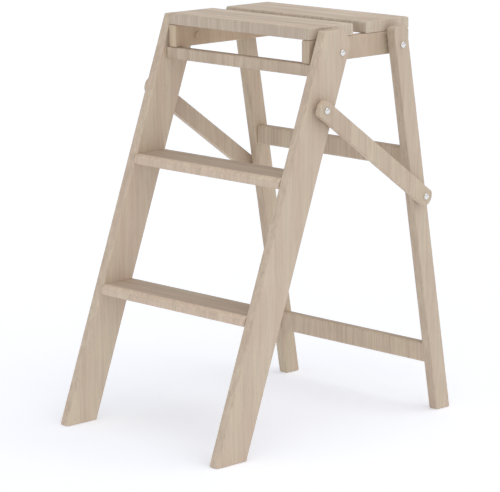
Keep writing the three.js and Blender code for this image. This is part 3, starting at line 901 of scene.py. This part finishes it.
class LADDER_OT_pivots(bpy.types.Operator):
    """Builds the bolts, sleeve nuts, spacers and washers of the pivots"""

    bl_idname = "ladder.pivots"
    bl_label = "Pivots"
    bl_options = {"REGISTER", "UNDO"}

    def execute(self, context):
        sizes = context.scene.ladder_sizes
        steel, nylon = finish_for("steel_bright"), finish_for("nylon_pale")
        for hand, side in HANDS.items():
            brace = f"brace_{hand}"
            pivots = [
                (f"stile_pivot_{hand}", "front_frame", PLATFORM_STILE, f"beech_bearer_{hand}"),
                (f"leg_pivot_{hand}", "rear_frame", PLATFORM_LEG, f"beech_bearer_{hand}"),
                (f"brace_stile_pivot_{hand}", "front_frame", BRACE_STILE, f"beech_stile_{hand}"),
            ]
            for pivot, body, centre, wood in pivots:
                self.bolt(f"{pivot}_bolt", body, centre, side, SHANK, steel)
                self.nut(f"{pivot}_nut", body, centre, side, steel, finish_for(wood))
            self.bolt(f"brace_leg_bolt_{hand}", brace, BRACE_LEG, side, SHOULDER, steel)
            leg_wood = finish_for(f"beech_leg_{hand}")
            self.nut(f"brace_leg_nut_{hand}", "rear_frame", BRACE_LEG, side, steel, leg_wood)
            rings = [
                (f"stile_spacer_{hand}", "front_frame", PLATFORM_STILE, nylon, "nylon"),
                (f"leg_spacer_{hand}", "rear_frame", PLATFORM_LEG, nylon, "nylon"),
                (f"brace_stile_washer_{hand}", "front_frame", BRACE_STILE, steel, "steel"),
                (f"brace_leg_washer_{hand}", brace, BRACE_LEG, steel, "steel"),
            ]
            for node, body, centre, finish, slot in rings:
                inner, outer = inner_outer(node, side)
                profile = ring_profile(sizes.bore, half_height(node), outer - inner)
                add_turned(node, body, profile, side, outer, centre, finish, closed=True)
        return {"FINISHED"}

    def bolt(self, node, body, centre, side, shank, finish):
        """A domed bolt that fills its node's box."""
        inner, outer = inner_outer(node, side)
        profile = bolt_profile(half_height(node), HEAD_HEIGHT, shank, outer - inner - HEAD_HEIGHT)
        add_turned(node, body, profile, side, outer - HEAD_HEIGHT, centre, finish)

    def nut(self, node, body, centre, side, steel, wood):
        """A sleeve nut and the wooden plug that hides its head. Together they fill the nut's box."""
        inner, outer = inner_outer(node, side)
        sleeve = nut_profile(SLEEVE, SLEEVE_BORE, outer - inner - PLUG_THICKNESS)
        add_turned(node, body, sleeve, side, outer, centre, steel)
        plug = side_profile(plug_profile(half_height(node), PLUG_THICKNESS), side, inner + PLUG_THICKNESS)
        mesh = ringed_mesh(node + "_plug", turned_rings(plug, centre))
        add_piece(node + "_plug", mesh, body, [], wood)


class LADDER_OT_screws(bpy.types.Operator):
    """Builds the slat screws, and finishes the dowels inside the treads' joints"""

    bl_idname = "ladder.screws"
    bl_label = "Screws and dowels"
    bl_options = {"REGISTER", "UNDO"}

    def execute(self, context):
        steel = finish_for("steel_bright")
        dowel = finish_for("beech_dowel", shift=(0.1, 0.2, 0.3))
        for name in sorted(frame["nodes"]):
            if "slat_screw" in name:
                self.screw(name, steel)
            if "tread_dowel" in name:
                materials = frame["nodes"][name].data.materials
                materials.clear()
                materials.append(dowel)
        return {"FINISHED"}

    def screw(self, node, finish):
        """A countersunk screw with a hexagonal recess. Its head narrows in a cone to the shank, which ends in
        a point."""
        low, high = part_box(node)
        centre = ((low.x + high.x) / 2, (low.y + high.y) / 2)
        head = (high.y - low.y) / 2
        profile = [
            (1.5 * MM, low.z + 1.6 * MM), (1.5 * MM, low.z + 0.2 * MM), (1.8 * MM, low.z),
            (head - 0.2 * MM, low.z), (head, low.z + 0.2 * MM), (head, low.z + 0.4 * MM),
            (SCREW_SHANK, low.z + 2.4 * MM), (SCREW_SHANK, high.z - 5 * MM), (0.1 * MM, high.z),
        ]
        rings = turned_rings(profile, centre, "Z", SCREW_SEGMENTS, key=(0, 1, 2))
        add_piece(node + "_turned", ringed_mesh(node + "_turned", rings), "platform", [node], finish)


class LADDER_OT_studio(bpy.types.Operator):
    """Sets up the floor, the lights and the camera"""

    bl_idname = "ladder.studio"
    bl_label = "Studio"
    bl_options = {"REGISTER", "UNDO"}

    def execute(self, context):
        studio = context.scene.ladder_studio
        scene = context.scene
        reach = 60.0
        corners = [(-reach, -reach, 0), (reach, -reach, 0), (reach, reach, 0), (-reach, reach, 0)]
        mesh = bpy.data.meshes.new("floor")
        mesh.from_pydata(corners, [], [(0, 1, 2, 3)])
        mesh.materials.append(finish_for("floor_white"))
        floor = bpy.data.objects.new("floor", mesh)
        scene.collection.objects.link(floor)

        scene.world = self.surroundings(studio.horizon, studio.zenith)
        self.light(scene, "key", (0.34, 0.14, 0.93), 80, studio.key, (1.0, 0.972, 0.93))
        self.light(scene, "fill", (0.30, -0.90, 0.30), 90, studio.fill, (1.0, 0.98, 0.94))

        camera = bpy.data.objects.new("camera", bpy.data.cameras.new("camera"))
        camera.data.lens = studio.lens
        camera.data.sensor_width = 36
        camera.data.clip_end = 300
        turn = Matrix.Rotation(studio.camera_turn, 4, "Z")
        tilt = Matrix.Rotation(math.pi / 2 + studio.camera_tilt, 4, "X")
        roll = Matrix.Rotation(studio.camera_roll, 4, "Z")
        camera.matrix_world = Matrix.Translation(studio.camera_place) @ turn @ tilt @ roll
        scene.collection.objects.link(camera)
        scene.camera = camera
        scene.view_settings.view_transform = "Standard"
        return {"FINISHED"}

    def surroundings(self, horizon, zenith):
        """Soft light from all round. Its brightness goes from that of the horizon to that of the zenith as
        the square root of the height of the direction."""
        world = bpy.data.worlds.new("surroundings")
        graph = Graph(world)
        direction = graph.node("ShaderNodeTexCoord").outputs["Generated"]
        height = Value(graph, graph.node("ShaderNodeSeparateXYZ", None, direction).outputs[2]).clipped()
        low, high = [horizon] * 3, [zenith * c for c in (0.93, 0.97, 1.06)]
        glow = graph.node("ShaderNodeBackground", None, graph.blend(height**0.5, low, high), 1.0)
        graph.node("ShaderNodeOutputWorld", None, glow.outputs[0])
        return world

    def light(self, scene, name, source, spread, strength, colour):
        """A distant light from the direction of source, as wide as spread degrees."""
        data = bpy.data.lights.new(name, "SUN")
        data.energy = strength
        data.angle = math.radians(spread)
        data.color = colour
        lamp = bpy.data.objects.new(name, data)
        lamp.location = source
        lamp.rotation_euler = Vector(source).to_track_quat("Z", "Y").to_euler()
        scene.collection.objects.link(lamp)


class LADDER_PT_panel(bpy.types.Panel):
    """Lists the ladder's builders, sizes and colours"""

    bl_idname = "LADDER_PT_panel"
    bl_label = "Step ladder"
    bl_space_type = "VIEW_3D"
    bl_region_type = "UI"
    bl_category = "Ladder"

    def draw(self, context):
        for operator in OPERATORS:
            self.layout.operator(operator.bl_idname)
        for group in (context.scene.ladder_sizes, context.scene.ladder_colours, context.scene.ladder_studio):
            box = self.layout.box()
            for name in type(group).__annotations__:
                box.prop(group, name)


GROUPS = {"ladder_sizes": LadderSizes, "ladder_colours": LadderColours, "ladder_studio": LadderStudio}
OPERATORS = [
    LADDER_OT_studio,
    LADDER_OT_stiles,
    LADDER_OT_treads,
    LADDER_OT_rails,
    LADDER_OT_legs,
    LADDER_OT_platform,
    LADDER_OT_braces,
    LADDER_OT_pivots,
    LADDER_OT_screws,
]


def register():
    for item in [*GROUPS.values(), *OPERATORS, LADDER_PT_panel]:
        bpy.utils.register_class(item)
    for name, group in GROUPS.items():
        setattr(bpy.types.Scene, name, PointerProperty(type=group))


def unregister():
    for name in GROUPS:
        delattr(bpy.types.Scene, name)
    for item in reversed([*GROUPS.values(), *OPERATORS, LADDER_PT_panel]):
        bpy.utils.unregister_class(item)


def main():
    register()
    for operator in OPERATORS:
        category, name = operator.bl_idname.split(".")
        getattr(getattr(bpy.ops, category), name)()


if __name__ == "__main__":
    main()
